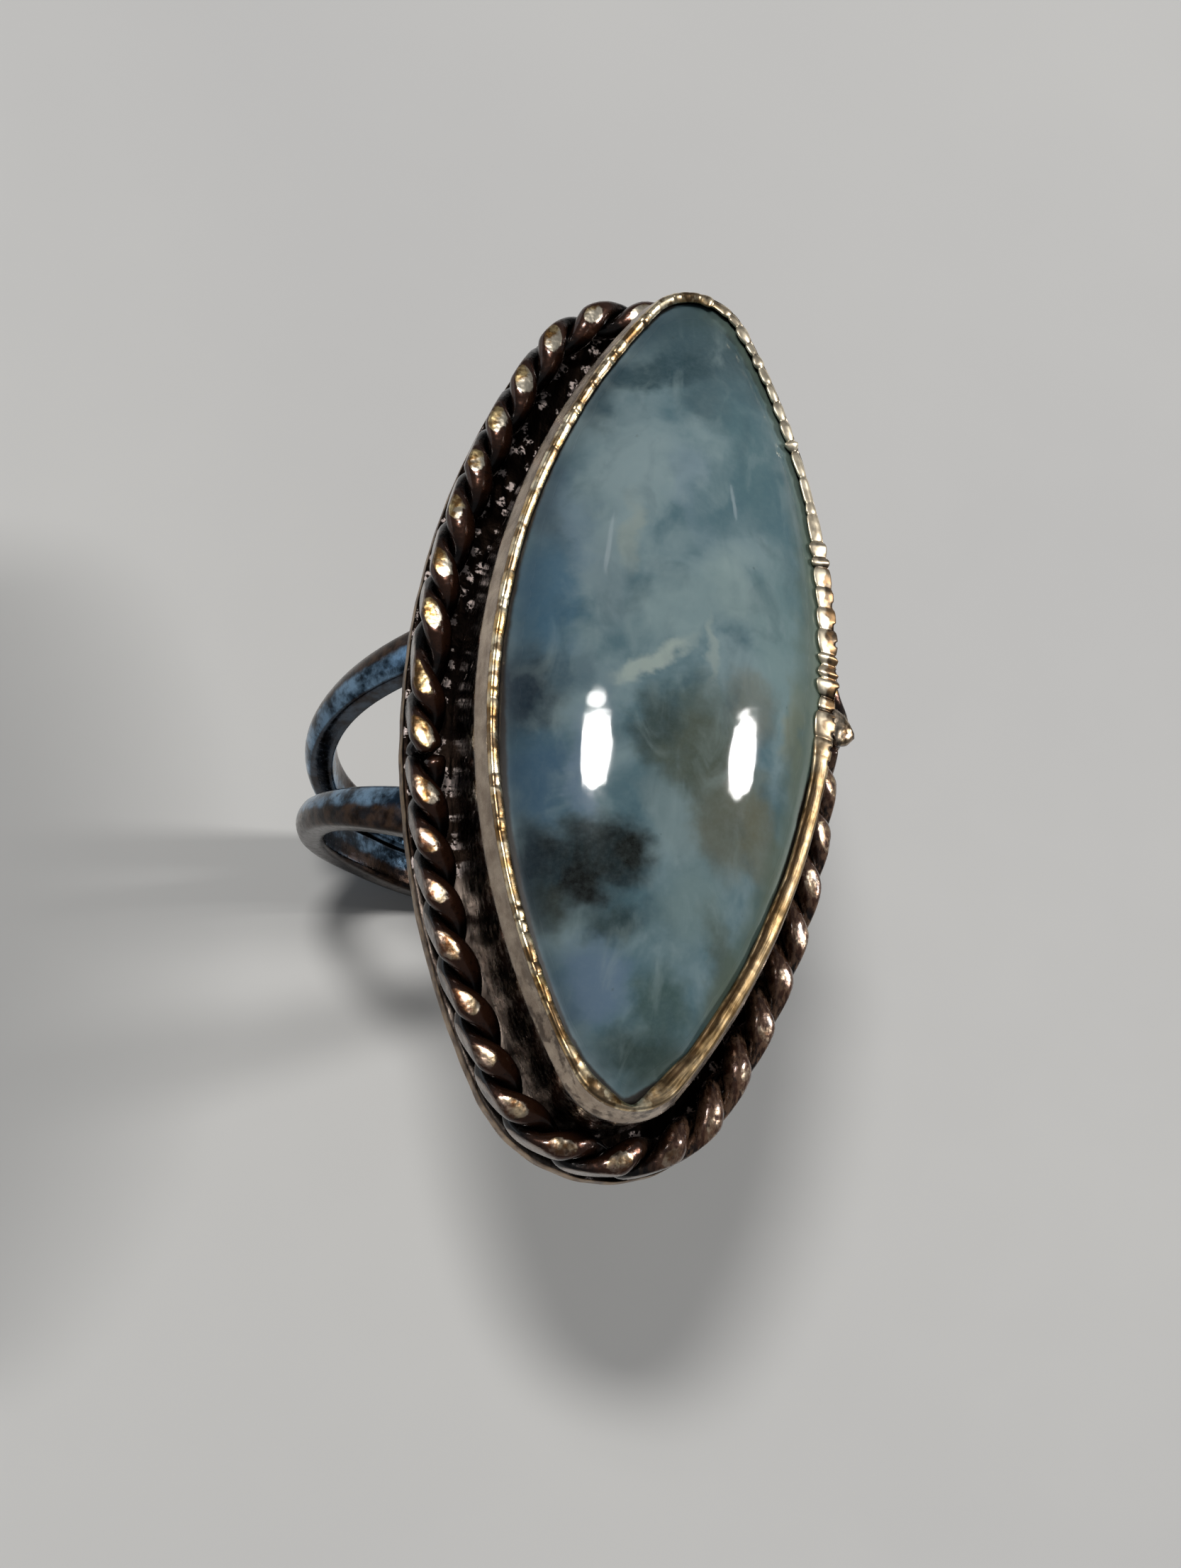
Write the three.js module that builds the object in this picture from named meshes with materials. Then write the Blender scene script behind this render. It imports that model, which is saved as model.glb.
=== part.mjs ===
// Cocktail ring: a long pointed cabochon in a bezel setting, edged with twisted rope wire,
// on a finger shank made of two rails that spread apart under the head.
//
// Millimetres. Origin at the centre of the finger hole. +Z runs up through the stone,
// Y is the finger hole's axis and the long axis of the head, X runs across the head.

import * as THREE from 'three';
import { LoftGeometry } from 'three/addons/geometries/LoftGeometry.js';

// ---- driving dimensions -------------------------------------------------------------

// shank
const holeRadius = 8.45;
const railThickness = 1.15;
const railWidthTop = 1.9;
const railWidthSide = 1.34;
const railWidthBottom = 1.5;
const railSpreadTop = 7.3;
const railSpreadBottom = 1.54;
const railJoinAngle = 140;
const railFanAngle = 38;
const shankShiftY = -0.55;
const railSteps = 34;

// base plate
const plateUnderside = 8.0;
const plateThickness = 0.7;
const plateTop = plateUnderside + plateThickness;
const solderGap = 0.02;

// rope border, which sits turned a little against the bezel
const borderTurn = 1.6;
const wireDiameter = 0.74;
const wireSides = 8;
const ropeHalfLength = 15.74;
const ropeHalfWidth = 7.24;
const ropeTipRadius = 4.28;
const ropeFiledFlush = 0.55;
const ropeSectionsPerTurn = 9;
const ropeSeamGap = 0.42;

// the rope's two lengths: millimetres per full turn, and a place where strand a lies on top,
// each measured along the rope from the +X mid-side counterclockwise
const backLay = 4.1;
const backTopAt = 23.0;
const frontLay = 3.75;
const frontTopAt = 41.4;

// seams between the lengths; at the right one the far length's ends flare outwards
const rightSeamAt = 0.0;
const leftSeamAt = 40.0;
const flareOut = 0.5;
const flareFull = 0.7;
const flareFaded = 2.1;

// bezel strip: its outline at the foot, and at the rim, where it has opened and twisted a little;
// each is a size, a shift from the middle of the head and a turn in degrees
const bezelFoot = { halfLength: 14.85, halfWidth: 6.12, tipRadius: 2.2, x: 0.1, y: -0.05, turn: -0.5 };
const bezelRim = { halfLength: 15.13, halfWidth: 6.32, tipRadius: 2.4, x: 0.04, y: -0.14, turn: -1.05 };
const bezelHeight = 5.0;
const bezelWall = 0.4;

// stone
const stoneClearance = 0.06;
const stoneEdgeHeight = 4.65;
const stoneDomeHeight = 2.3;
const stoneDomeSteps = 9;

// outline sampling
const sideSteps = 20;
const tipSteps = 6;

// ---- outline of two side arcs closed by two round tips ------------------------------

// Returns points with outward normals, counterclockwise from the +X side of the -Y tip.
function pointedOutline(halfLength, halfWidth, tipRadius, sides = sideSteps, tips = tipSteps) {
  const reach = halfLength - tipRadius;
  const sideRadius = (reach ** 2 + halfWidth ** 2 - tipRadius ** 2) / (2 * (halfWidth - tipRadius));
  const centre = sideRadius - halfWidth;
  const swing = Math.atan2(reach, centre);
  const points = [];
  const arc = (cx, cy, radius, from, to, steps) => {
    for (let i = 0; i < steps; i++) {
      const angle = from + (to - from) * i / steps;
      const nx = Math.cos(angle);
      const ny = Math.sin(angle);
      points.push({ x: cx + radius * nx, y: cy + radius * ny, nx, ny });
    }
  };
  arc(-centre, 0, sideRadius, -swing, swing, sides);
  arc(0, reach, tipRadius, swing, Math.PI - swing, tips);
  arc(centre, 0, sideRadius, Math.PI - swing, Math.PI + swing, sides);
  arc(0, -reach, tipRadius, Math.PI + swing, 2 * Math.PI - swing, tips);
  return points;
}

// ---- materials ----------------------------------------------------------------------

const stoneMaterial = new THREE.MeshStandardMaterial({ color: 0x7d9ea3, roughness: 0.08, metalness: 0 });
const bezelMaterial = new THREE.MeshStandardMaterial({ color: 0xb08f5c, roughness: 0.28, metalness: 1 });
const plateMaterial = new THREE.MeshStandardMaterial({ color: 0x3b3029, roughness: 0.45, metalness: 1 });
const ropeMaterial = new THREE.MeshStandardMaterial({ color: 0x8a6a45, roughness: 0.3, metalness: 1 });
const shankMaterial = new THREE.MeshStandardMaterial({ color: 0x9b948a, roughness: 0.22, metalness: 1 });

const ring = new THREE.Group();

function addPiece(name, geometry, material, parent = ring) {
  const piece = new THREE.Mesh(geometry, material);
  piece.name = name;
  parent.add(piece);
  return piece;
}

// ---- shank: two rails, side by side at the bottom, spread apart under the head -------

const degrees = Math.PI / 180;
const railTopZ = plateUnderside - solderGap;

// Half of the distance between the rails' centre lines, by angle from the top.
function railSpread(angle) {
  const start = Math.acos(railTopZ / (holeRadius + railThickness)) / degrees;
  const t = THREE.MathUtils.clamp((angle - start) / (railJoinAngle - start), 0, 1);
  return (railSpreadBottom + (railSpreadTop - railSpreadBottom) * (1 - t) ** 1.4) / 2;
}

function railWidth(angle) {
  const upper = THREE.MathUtils.smoothstep(angle, 30, 88);
  const lower = THREE.MathUtils.smoothstep(angle, 88, 140);
  return railWidthTop + (railWidthSide - railWidthTop) * upper + (railWidthBottom - railWidthSide) * lower;
}

// Corners of a rail's section: flat against the finger, softly crowned outside.
// Each is a share of the width, from -1 to 1, and a share of the thickness, from 0 to 1.
const railSection = [];
railSection.push([-0.78, 0]);
railSection.push([-1, 0.14]);
railSection.push([-1, 0.66]);
for (let i = 0; i <= 4; i++) {
  const across = -0.84 + 1.68 * i / 4;
  railSection.push([across, 1 - 0.24 * across ** 2]);
}
railSection.push([1, 0.66]);
railSection.push([1, 0.14]);
railSection.push([0.78, 0]);

// One rail is a loft of sections from the left foot, down under the finger, to the right foot.
function railGeometry(side) {
  const sections = [];
  const addSection = (angleOf, mirror) => {
    const points = railSection.map(([across, out]) => {
      const radius = holeRadius + railThickness * out;
      const angle = angleOf(radius);
      const y = shankShiftY + side * railSpread(angle) + across * railWidth(angle) / 2;
      return new THREE.Vector3(
        mirror * radius * Math.sin(angle * degrees),
        y,
        radius * Math.cos(angle * degrees)
      );
    });
    sections.push(points);
  };
  // A foot is cut level where it meets the plate, so its sections fan from level to radial.
  const fan = (share) => (radius) => {
    const level = Math.acos(railTopZ / radius) / degrees;
    return level + (railFanAngle - level) * share;
  };
  for (const share of [0, 0.33, 0.66]) {
    addSection(fan(share), -1);
  }
  for (let i = 0; i <= railSteps; i++) {
    const angle = railFanAngle + (360 - 2 * railFanAngle) * i / railSteps;
    if (angle <= 180) {
      addSection(() => angle, -1);
    } else {
      addSection(() => 360 - angle, 1);
    }
  }
  for (const share of [0.66, 0.33, 0]) {
    addSection(fan(share), 1);
  }
  return new LoftGeometry(sections, { closed: true, capStart: true, capEnd: true });
}

addPiece('shank_rail_front', railGeometry(-1), shankMaterial);
addPiece('shank_rail_back', railGeometry(1), shankMaterial);

// ---- head ---------------------------------------------------------------------------

const head = new THREE.Group();
head.position.set(0, 0, plateTop);
ring.add(head);
const border = new THREE.Group();
border.rotation.z = borderTurn * degrees;
head.add(border);

// Base plate: a flat sheet whose edge is filed flush with the outside of the rope.
const plateShape = new THREE.Shape();
pointedOutline(
  ropeHalfLength + ropeFiledFlush,
  ropeHalfWidth + ropeFiledFlush,
  ropeTipRadius + ropeFiledFlush
).forEach((point, i) => {
  if (i === 0) {
    plateShape.moveTo(point.x, point.y);
  } else {
    plateShape.lineTo(point.x, point.y);
  }
});
const plateGeometry = new THREE.ExtrudeGeometry(plateShape, {
  depth: plateThickness,
  bevelEnabled: false
});
addPiece('base_plate', plateGeometry, plateMaterial, border).position.z = -plateThickness;

// Outline of the bezel at a height, moved inwards by an inset and shrunk to a dome's reach.
function bezelOutline(height, inset, reach = (half) => half, roundness = 0) {
  const share = height / bezelHeight;
  const part = (key) => THREE.MathUtils.lerp(bezelFoot[key], bezelRim[key], share);
  const halfLength = reach(part('halfLength') - inset);
  const halfWidth = reach(part('halfWidth') - inset);
  const tip = THREE.MathUtils.lerp(part('tipRadius') - inset, 0.8 * halfWidth ** 2 / halfLength, roundness);
  const cos = Math.cos(part('turn') * degrees);
  const sin = Math.sin(part('turn') * degrees);
  return pointedOutline(halfLength, halfWidth, Math.min(tip, 0.5 * halfWidth)).map(
    ({ x, y }) => [cos * x - sin * y + part('x'), sin * x + cos * y + part('y')]
  );
}

// Bezel strip: an upright wall whose top edge is pressed inwards over the stone.
// Each corner is an inset from the outline and a height.
const bezelProfile = [
  [bezelWall, solderGap],
  [0.43, bezelHeight - 0.33],
  [0.52, bezelHeight - 0.14],
  [0.66, bezelHeight + 0.02],
  [0.6, bezelHeight + 0.13],
  [0.44, bezelHeight + 0.17],
  [0.3, bezelHeight + 0.1],
  [0.25, bezelHeight - 0.08],
  [0.12, bezelHeight - 0.55],
  [0.03, bezelHeight - 0.9],
  [0, solderGap]
];

const bezelRings = bezelProfile.map(([inset, height]) => ({ height, outline: bezelOutline(height, inset) }));
const bezelSections = bezelRings[0].outline.map((_, i) => bezelRings.map(
  ({ height, outline }) => new THREE.Vector3(outline[i][0], outline[i][1], height)
));
bezelSections.push(bezelSections[0]);
const bezelGeometry = new LoftGeometry(bezelSections, { closed: true });
addPiece('bezel_wall', bezelGeometry, bezelMaterial, head);

// Cabochon: flat back, edge upright inside the bezel, and a dome that is an arc both ways.
const stoneInset = bezelWall + stoneClearance;

// Half-size of a dome with the given base half-size, at a height above its edge.
function domeReach(half, height) {
  const radius = (half ** 2 + stoneDomeHeight ** 2) / (2 * stoneDomeHeight);
  return Math.sqrt(radius ** 2 - (radius - stoneDomeHeight + height) ** 2);
}

function stoneRing(outline, z) {
  return outline.map(([x, y]) => new THREE.Vector3(x, y, z));
}

const stoneBack = 2 * solderGap;
const stoneSections = [];
stoneSections.push(stoneRing(bezelOutline(stoneBack, stoneInset + 0.2), stoneBack));
stoneSections.push(stoneRing(bezelOutline(stoneBack + 0.25, stoneInset), stoneBack + 0.25));
for (let i = 0; i < stoneDomeSteps; i++) {
  const share = Math.sin(Math.PI / 2 * i / stoneDomeSteps);
  const rise = stoneDomeHeight * share;
  const outline = bezelOutline(stoneEdgeHeight, stoneInset, (half) => domeReach(half, rise), share);
  stoneSections.push(stoneRing(outline, stoneEdgeHeight + rise));
}
const stoneGeometry = new LoftGeometry(stoneSections, { closed: true, capStart: true, capEnd: true });
addPiece('cabochon', stoneGeometry, stoneMaterial, head);

// ---- rope border: two lengths of two-strand twisted wire, meeting at the mid-sides ---

// Centre line of the rope, finely sampled, from the +X mid-side counterclockwise.
const ropeLine = pointedOutline(ropeHalfLength, ropeHalfWidth, ropeTipRadius, 120, 60);
const ropeStart = ropeLine.findIndex((point) => point.y >= -1e-9);
const ropeLoop = [...ropeLine.slice(ropeStart), ...ropeLine.slice(0, ropeStart + 1)];
const ropeDistance = [0];
for (let i = 1; i < ropeLoop.length; i++) {
  const step = Math.hypot(ropeLoop[i].x - ropeLoop[i - 1].x, ropeLoop[i].y - ropeLoop[i - 1].y);
  ropeDistance.push(ropeDistance[i - 1] + step);
}
const ropePerimeter = ropeDistance[ropeDistance.length - 1];

// Point and outward normal of the centre line at a distance along it.
function ropePoint(distance) {
  const wanted = THREE.MathUtils.euclideanModulo(distance, ropePerimeter);
  let i = Math.floor(wanted / ropePerimeter * (ropeDistance.length - 1));
  while (ropeDistance[i] > wanted) i--;
  while (ropeDistance[i + 1] <= wanted) i++;
  const share = (wanted - ropeDistance[i]) / (ropeDistance[i + 1] - ropeDistance[i]);
  const a = ropeLoop[i];
  const b = ropeLoop[i + 1];
  const mix = (from, to) => from + (to - from) * share;
  return { x: mix(a.x, b.x), y: mix(a.y, b.y), nx: mix(a.nx, b.nx), ny: mix(a.ny, b.ny) };
}

// How far the far length leans outwards, by distance along it from the right seam.
function flare(distance) {
  return flareOut * (1 - THREE.MathUtils.smoothstep(distance - rightSeamAt, flareFull, flareFaded));
}

// A strand's centre in the rope's own coordinates: distance along, offset outwards, height.
// It winds left-handed, half a turn from its partner.
function strandCentre(rope, distance, phase) {
  const winding = wireDiameter / 2 + 0.01;
  const turn = phase + Math.PI / 2 + 2 * Math.PI * (distance - rope.topAt) / rope.lay;
  const lean = rope.flared ? flare(distance) : 0;
  return new THREE.Vector3(
    distance,
    lean + winding * Math.cos(turn),
    wireDiameter + 0.03 + winding * Math.sin(turn)
  );
}

// One strand: round sections across its own direction, filed flat on the rope's outside.
function strandGeometry(rope, phase) {
  const from = rope.start + ropeSeamGap / 2;
  const to = rope.end - ropeSeamGap / 2;
  const steps = Math.round(ropeSectionsPerTurn * (to - from) / rope.lay);
  const sections = [];
  for (let i = 0; i <= steps; i++) {
    const distance = from + (to - from) * i / steps;
    const centre = strandCentre(rope, distance, phase);
    const ahead = strandCentre(rope, distance + 0.01, phase);
    const direction = ahead.sub(strandCentre(rope, distance - 0.01, phase)).normalize();
    const across = new THREE.Vector3(0, 0, 1).cross(direction).normalize();
    const upward = direction.clone().cross(across);
    const limit = ropeFiledFlush + (rope.flared ? 1.2 * flare(distance) : 0);
    const points = [];
    for (let k = 0; k < wireSides; k++) {
      const angle = -2 * Math.PI * (k + 0.5) / wireSides;
      const local = centre.clone();
      local.addScaledVector(across, wireDiameter / 2 * Math.cos(angle));
      local.addScaledVector(upward, wireDiameter / 2 * Math.sin(angle));
      const line = ropePoint(local.x);
      const out = Math.min(local.y, limit);
      points.push(new THREE.Vector3(line.x + line.nx * out, line.y + line.ny * out, local.z));
    }
    sections.push(points);
  }
  return new LoftGeometry(sections, { closed: true, capStart: true, capEnd: true });
}

const rightSeamAgain = rightSeamAt + ropePerimeter;
const ropeLengths = [
  { name: 'rope_back', start: rightSeamAt, end: leftSeamAt, lay: backLay, topAt: backTopAt, flared: true },
  { name: 'rope_front', start: leftSeamAt, end: rightSeamAgain, lay: frontLay, topAt: frontTopAt }
];
for (const rope of ropeLengths) {
  addPiece(`${rope.name}_strand_a`, strandGeometry(rope, 0), ropeMaterial, border);
  addPiece(`${rope.name}_strand_b`, strandGeometry(rope, Math.PI), ropeMaterial, border);
}

export default ring;
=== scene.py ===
"""Looks of a cocktail ring: grey-teal stone, burnished bezel, blackened rope, split shank."""

import math

import bpy
import numpy as np
from mathutils import Euler, Matrix, Vector


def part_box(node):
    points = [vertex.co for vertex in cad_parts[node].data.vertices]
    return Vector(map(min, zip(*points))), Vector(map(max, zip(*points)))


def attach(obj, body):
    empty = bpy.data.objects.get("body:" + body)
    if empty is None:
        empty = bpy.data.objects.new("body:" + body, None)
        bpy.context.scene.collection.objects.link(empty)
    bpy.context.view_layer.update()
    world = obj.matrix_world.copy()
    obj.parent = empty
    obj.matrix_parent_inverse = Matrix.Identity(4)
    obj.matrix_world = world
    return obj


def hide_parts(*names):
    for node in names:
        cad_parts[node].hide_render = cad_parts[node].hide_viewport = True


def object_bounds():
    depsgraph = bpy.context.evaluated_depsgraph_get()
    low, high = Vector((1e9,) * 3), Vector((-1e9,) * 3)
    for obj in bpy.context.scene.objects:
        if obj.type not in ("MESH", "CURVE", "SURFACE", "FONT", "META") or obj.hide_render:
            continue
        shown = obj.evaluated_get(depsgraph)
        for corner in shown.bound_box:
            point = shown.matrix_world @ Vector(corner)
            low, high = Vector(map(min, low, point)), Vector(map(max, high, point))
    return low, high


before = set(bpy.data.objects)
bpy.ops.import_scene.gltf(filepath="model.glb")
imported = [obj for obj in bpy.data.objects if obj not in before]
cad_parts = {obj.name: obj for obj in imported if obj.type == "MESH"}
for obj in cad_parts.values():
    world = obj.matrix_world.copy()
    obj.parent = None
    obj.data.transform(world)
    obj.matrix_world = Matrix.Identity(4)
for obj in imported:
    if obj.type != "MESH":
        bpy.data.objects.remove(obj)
cad_low, cad_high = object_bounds()

MM = 0.001


def box_mm(node):
    low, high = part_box(node)
    return np.array(low) / MM, np.array(high) / MM


# ---- sizes -------------------------------------------------------------------
# in millimetres and degrees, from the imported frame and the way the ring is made

plate_low, plate_high = box_mm("base_plate")
rail_low, rail_high = box_mm("shank_rail_front")
bezel_high = box_mm("bezel_wall")[1]
stone_high = box_mm("cabochon")[1]
back_high = box_mm("shank_rail_back")[1]

PLATE_TOP = plate_high[2]
PLATE_BOTTOM = plate_low[2]

# the rope border's wire, and how far the plate and the filed edge lie outside its middle line
WIRE = 0.74
FLUSH = 0.55
# that line's half length, half width and tip radius, the strands' clearance over the plate
ROPE_L, ROPE_B, ROPE_R = 15.74, 7.24, 4.28
ROPE_LIFT = 0.03
BORDER_TURN = math.radians(1.6)
# along the line: where the two lengths meet, and each one's turn and a place with strand a on top
RIGHT_SEAM, LEFT_SEAM, SEAM_GAP = 0.0, 40.0, 0.04
FAR_LAY, FAR_TOP_AT = 4.1, 23.0
NEAR_LAY, NEAR_TOP_AT = 3.75, 41.4
# the bump at the right seam: how far the far length's end stands out, and over what distance
FLARE, FLARE_FULL, FLARE_FADED = 0.62, 0.7, 2.1

# the bezel's outline at its foot and its rim: half length, half width, tip radius, shifts, turn
FOOT = np.array([14.85, 6.12, 2.2, 0.1, -0.05, -0.5])
RIM = np.array([15.13, 6.32, 2.4, 0.04, -0.14, -1.05])
BEZEL_H = 5.0
RIM_Z = bezel_high[2] - 0.17
# where the pressed rim's corner at the lower tip starts, and half its angle
LOWER_TIP_Y, TIP_CORNER = -12.7, 52
# notches along the rim at the right mid-side
NOTCH_PITCH = 0.62

# how far the stone's edge lies inside the bezel's outline, and its and the dome's heights
STONE_INSET = 0.46
STONE_EDGE_H = 4.65
DOME = 2.3
GIRDLE_Z = stone_high[2] - DOME

# the shank: finger hole radius, the rails' thickness and their middle along Y
HOLE = 8.45
RAIL_T = rail_high[0] - HOLE
SHIFT_Y = (rail_low[1] + back_high[1]) / 2
# angles from the top where the rails come together and where their sections begin to stand square
RAIL_JOIN, RAIL_FAN = 140.0, 38.0
SPREAD_TOP, SPREAD_BOTTOM = 7.3, 1.54
WIDE_TOP, WIDE_SIDE, WIDE_BOTTOM = 1.9, 1.34, 1.5


# ---- number helpers ----------------------------------------------------------

def smoothstep(x, a, b):
    t = np.clip((x - a) / (b - a), 0, 1)
    return t * t * (3 - 2 * t)


def waves(x, period, seed, count=6, low=1, high=9):
    """Smooth repeatable wobble over a loop of the given period, about -1 to 1."""
    rng = np.random.RandomState(seed)
    out = np.zeros_like(x, dtype=float)
    weight = 0.0
    for _ in range(count):
        k = rng.randint(low, high + 1)
        a = rng.uniform(0.4, 1.0)
        out += a * np.sin(2 * np.pi * (k * x / period + rng.rand()))
        weight += a * a
    return out / math.sqrt(weight)


class Outline:
    """Two side arcs closed by two round tips, walked counterclockwise from the +X mid-side."""

    def __init__(self, length, width, tip):
        reach = length - tip
        self.R = (reach ** 2 + width ** 2 - tip ** 2) / (2 * (width - tip))
        self.c = self.R - width
        self.r, self.reach, self.width = tip, reach, width
        self.sw = math.atan2(reach, self.c)
        tip_arc = tip * (math.pi - 2 * self.sw)
        side_arc = self.R * self.sw
        self.marks = np.cumsum([0, side_arc, tip_arc, 2 * self.R * self.sw, tip_arc, side_arc])
        self.perimeter = self.marks[-1]

    def at(self, s):
        s = np.mod(np.asarray(s, float), self.perimeter)
        m, R, r, sw = self.marks, self.R, self.r, self.sw
        k = np.clip(np.searchsorted(m, s, side="right") - 1, 0, 4)
        d = s - m[k]
        angle = np.choose(k, [d / R, sw + d / r, math.pi - sw + d / R,
                              math.pi + sw + d / r, -sw + d / R])
        cx = np.choose(k, [-self.c, 0, self.c, 0, -self.c])
        cy = np.choose(k, [0, self.reach, 0, -self.reach, 0])
        rad = np.choose(k, [R, r, R, r, R])
        n = np.stack([np.cos(angle), np.sin(angle)], -1)
        return np.stack([cx + rad * n[..., 0], cy + rad * n[..., 1]], -1), n

    def half_width(self, y):
        y = np.abs(y)
        on_side = y <= self.R * math.sin(self.sw)
        side = np.sqrt(np.maximum(self.R ** 2 - y ** 2, 0)) - self.c
        tip = np.sqrt(np.maximum(self.r ** 2 - (y - self.reach) ** 2, 0))
        return np.where(on_side, side, tip)


rim_line = Outline(*RIM[:3])


def turn_by(degrees):
    """A matrix that turns rows of x, y counterclockwise."""
    c, s = math.cos(math.radians(degrees)), math.sin(math.radians(degrees))
    return np.array([[c, s], [-s, c]])


def bezel_outline(share, height, inset=0.0):
    """Points and normals of the bezel's outline at a height, at shares 0 to 1 of the way round."""
    here = FOOT + (RIM - FOOT) * height / BEZEL_H
    line = Outline(*(here[:3] - inset))
    p, n = line.at(np.interp(share * rim_line.perimeter, rim_line.marks, line.marks))
    turn = turn_by(here[5])
    return p @ turn + here[3:5], n @ turn


# ---- mesh helpers ------------------------------------------------------------

def loft(name, grid, node, loop=False, attributes=None):
    """One closed solid: grid is sections x points x 3 in mm, each section a closed loop."""
    n, m = grid.shape[:2]
    verts = grid.reshape(-1, 3) * MM
    rows = n if loop else n - 1
    i, k = np.meshgrid(np.arange(rows), np.arange(m), indexing="ij")
    j, l = (i + 1) % n, (k + 1) % m
    quads = np.stack([i * m + k, j * m + k, j * m + l, i * m + l], -1).reshape(-1, 4)
    faces = quads.tolist()
    if not loop:
        faces.append(list(range(m)))
        faces.append([(n - 1) * m + q for q in range(m - 1, -1, -1)])
    return piece(name, verts, faces, node, attributes)


def stacked(rings, around):
    """Faces between stacked closed rings with the same number of points."""
    i, k = np.meshgrid(np.arange(rings - 1), np.arange(around), indexing="ij")
    l = (k + 1) % around
    corners = (i * around + k, i * around + l, (i + 1) * around + l, (i + 1) * around + k)
    return np.stack(corners, -1).reshape(-1, 4).tolist()


def piece(name, verts, faces, node, attributes=None):
    mesh = bpy.data.meshes.new(name)
    mesh.from_pydata(verts.tolist(), [], faces)
    for key, values in (attributes or {}).items():
        layer = mesh.attributes.new(key, "FLOAT", "POINT")
        layer.data.foreach_set("value", np.ascontiguousarray(values, dtype=np.float32).ravel())
    mesh.validate()
    mesh.shade_smooth()
    if signed_volume(mesh) < 0:
        mesh.flip_normals()
    obj = bpy.data.objects.new(name, mesh)
    bpy.context.scene.collection.objects.link(obj)
    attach(obj, "root")
    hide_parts(node)
    return obj


def turned(points):
    """Points of the border, turned about the head's upright axis as it is soldered on."""
    c, s = math.cos(BORDER_TURN), math.sin(BORDER_TURN)
    out = points.copy()
    out[..., 0] = c * points[..., 0] - s * points[..., 1]
    out[..., 1] = s * points[..., 0] + c * points[..., 1]
    return out


def signed_volume(mesh):
    """Six times the volume inside the faces, negative when they face in."""
    mesh.calc_loop_triangles()
    tri = np.zeros(len(mesh.loop_triangles) * 3, np.int32)
    mesh.loop_triangles.foreach_get("vertices", tri)
    co = np.zeros(len(mesh.vertices) * 3)
    mesh.vertices.foreach_get("co", co)
    a, b, c = np.moveaxis(co.reshape(-1, 3)[tri.reshape(-1, 3)], 1, 0)
    return float((a * np.cross(b, c)).sum())


def refine(points, steps):
    """Catmull-Rom curve through an open row of points, sampled evenly in between."""
    p = np.asarray(points, float)
    p = np.vstack([2 * p[0] - p[1], p, 2 * p[-1] - p[-2]])
    out = []
    for a, b, c, d in zip(p[:-3], p[1:-2], p[2:-1], p[3:]):
        for t in np.arange(steps) / steps:
            out.append(0.5 * (2 * b + (c - a) * t + (2 * a - 5 * b + 4 * c - d) * t * t
                              + (3 * b - a - 3 * c + d) * t ** 3))
    out.append(p[-2])
    return np.array(out)


# ---- stone -------------------------------------------------------------------

GIRDLE = FOOT + (RIM - FOOT) * STONE_EDGE_H / BEZEL_H
stone_line = Outline(*(GIRDLE[:3] - STONE_INSET))
STONE_L = GIRDLE[0] - STONE_INSET


def dome_height(x, y):
    """Height over the girdle: a long arc along the stone and a round arc across it."""
    long_radius = (STONE_L ** 2 + DOME ** 2) / (2 * DOME)
    crest = np.sqrt(np.maximum(long_radius ** 2 - y * y, 0)) - (long_radius - DOME)
    crest = np.maximum(crest, 1e-4)
    half = np.maximum(stone_line.half_width(y), 1e-4)
    radius = (half ** 2 + crest ** 2) / (2 * crest)
    return np.maximum(np.sqrt(np.maximum(radius ** 2 - x * x, 0)) - (radius - crest), 0)


def lip_reach(x, y):
    """How much further in than elsewhere the rim lies over the stone, by place on the outline."""
    right = smoothstep(x, -0.6, 2.2)
    lower = smoothstep(-y, 0.5, 4.0)
    middle = smoothstep(-y, -8.0, -4.0)
    reach = 0.04 + right * (0.21 * lower + (0.18 * middle - 0.03) * (1 - lower))
    # at the lower tip the pressed rim leaves a sharp corner, not a round one
    below = np.maximum(LOWER_TIP_Y - y, 1e-6)
    away = np.degrees(np.arctan2(np.abs(x - 0.02), below))
    bend = np.radians(TIP_CORNER + np.clip(away, 0, 76))
    corner = np.maximum(1 - np.sin(math.radians(TIP_CORNER)) / np.sin(bend), 0)
    corner = corner * smoothstep(below, 0.0, 0.4) * (0.55 + 0.2 * smoothstep(x, -0.5, 0.8))
    return reach + corner - 0.2 * np.exp(-(away / 16) ** 2) * (y < LOWER_TIP_Y)


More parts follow.
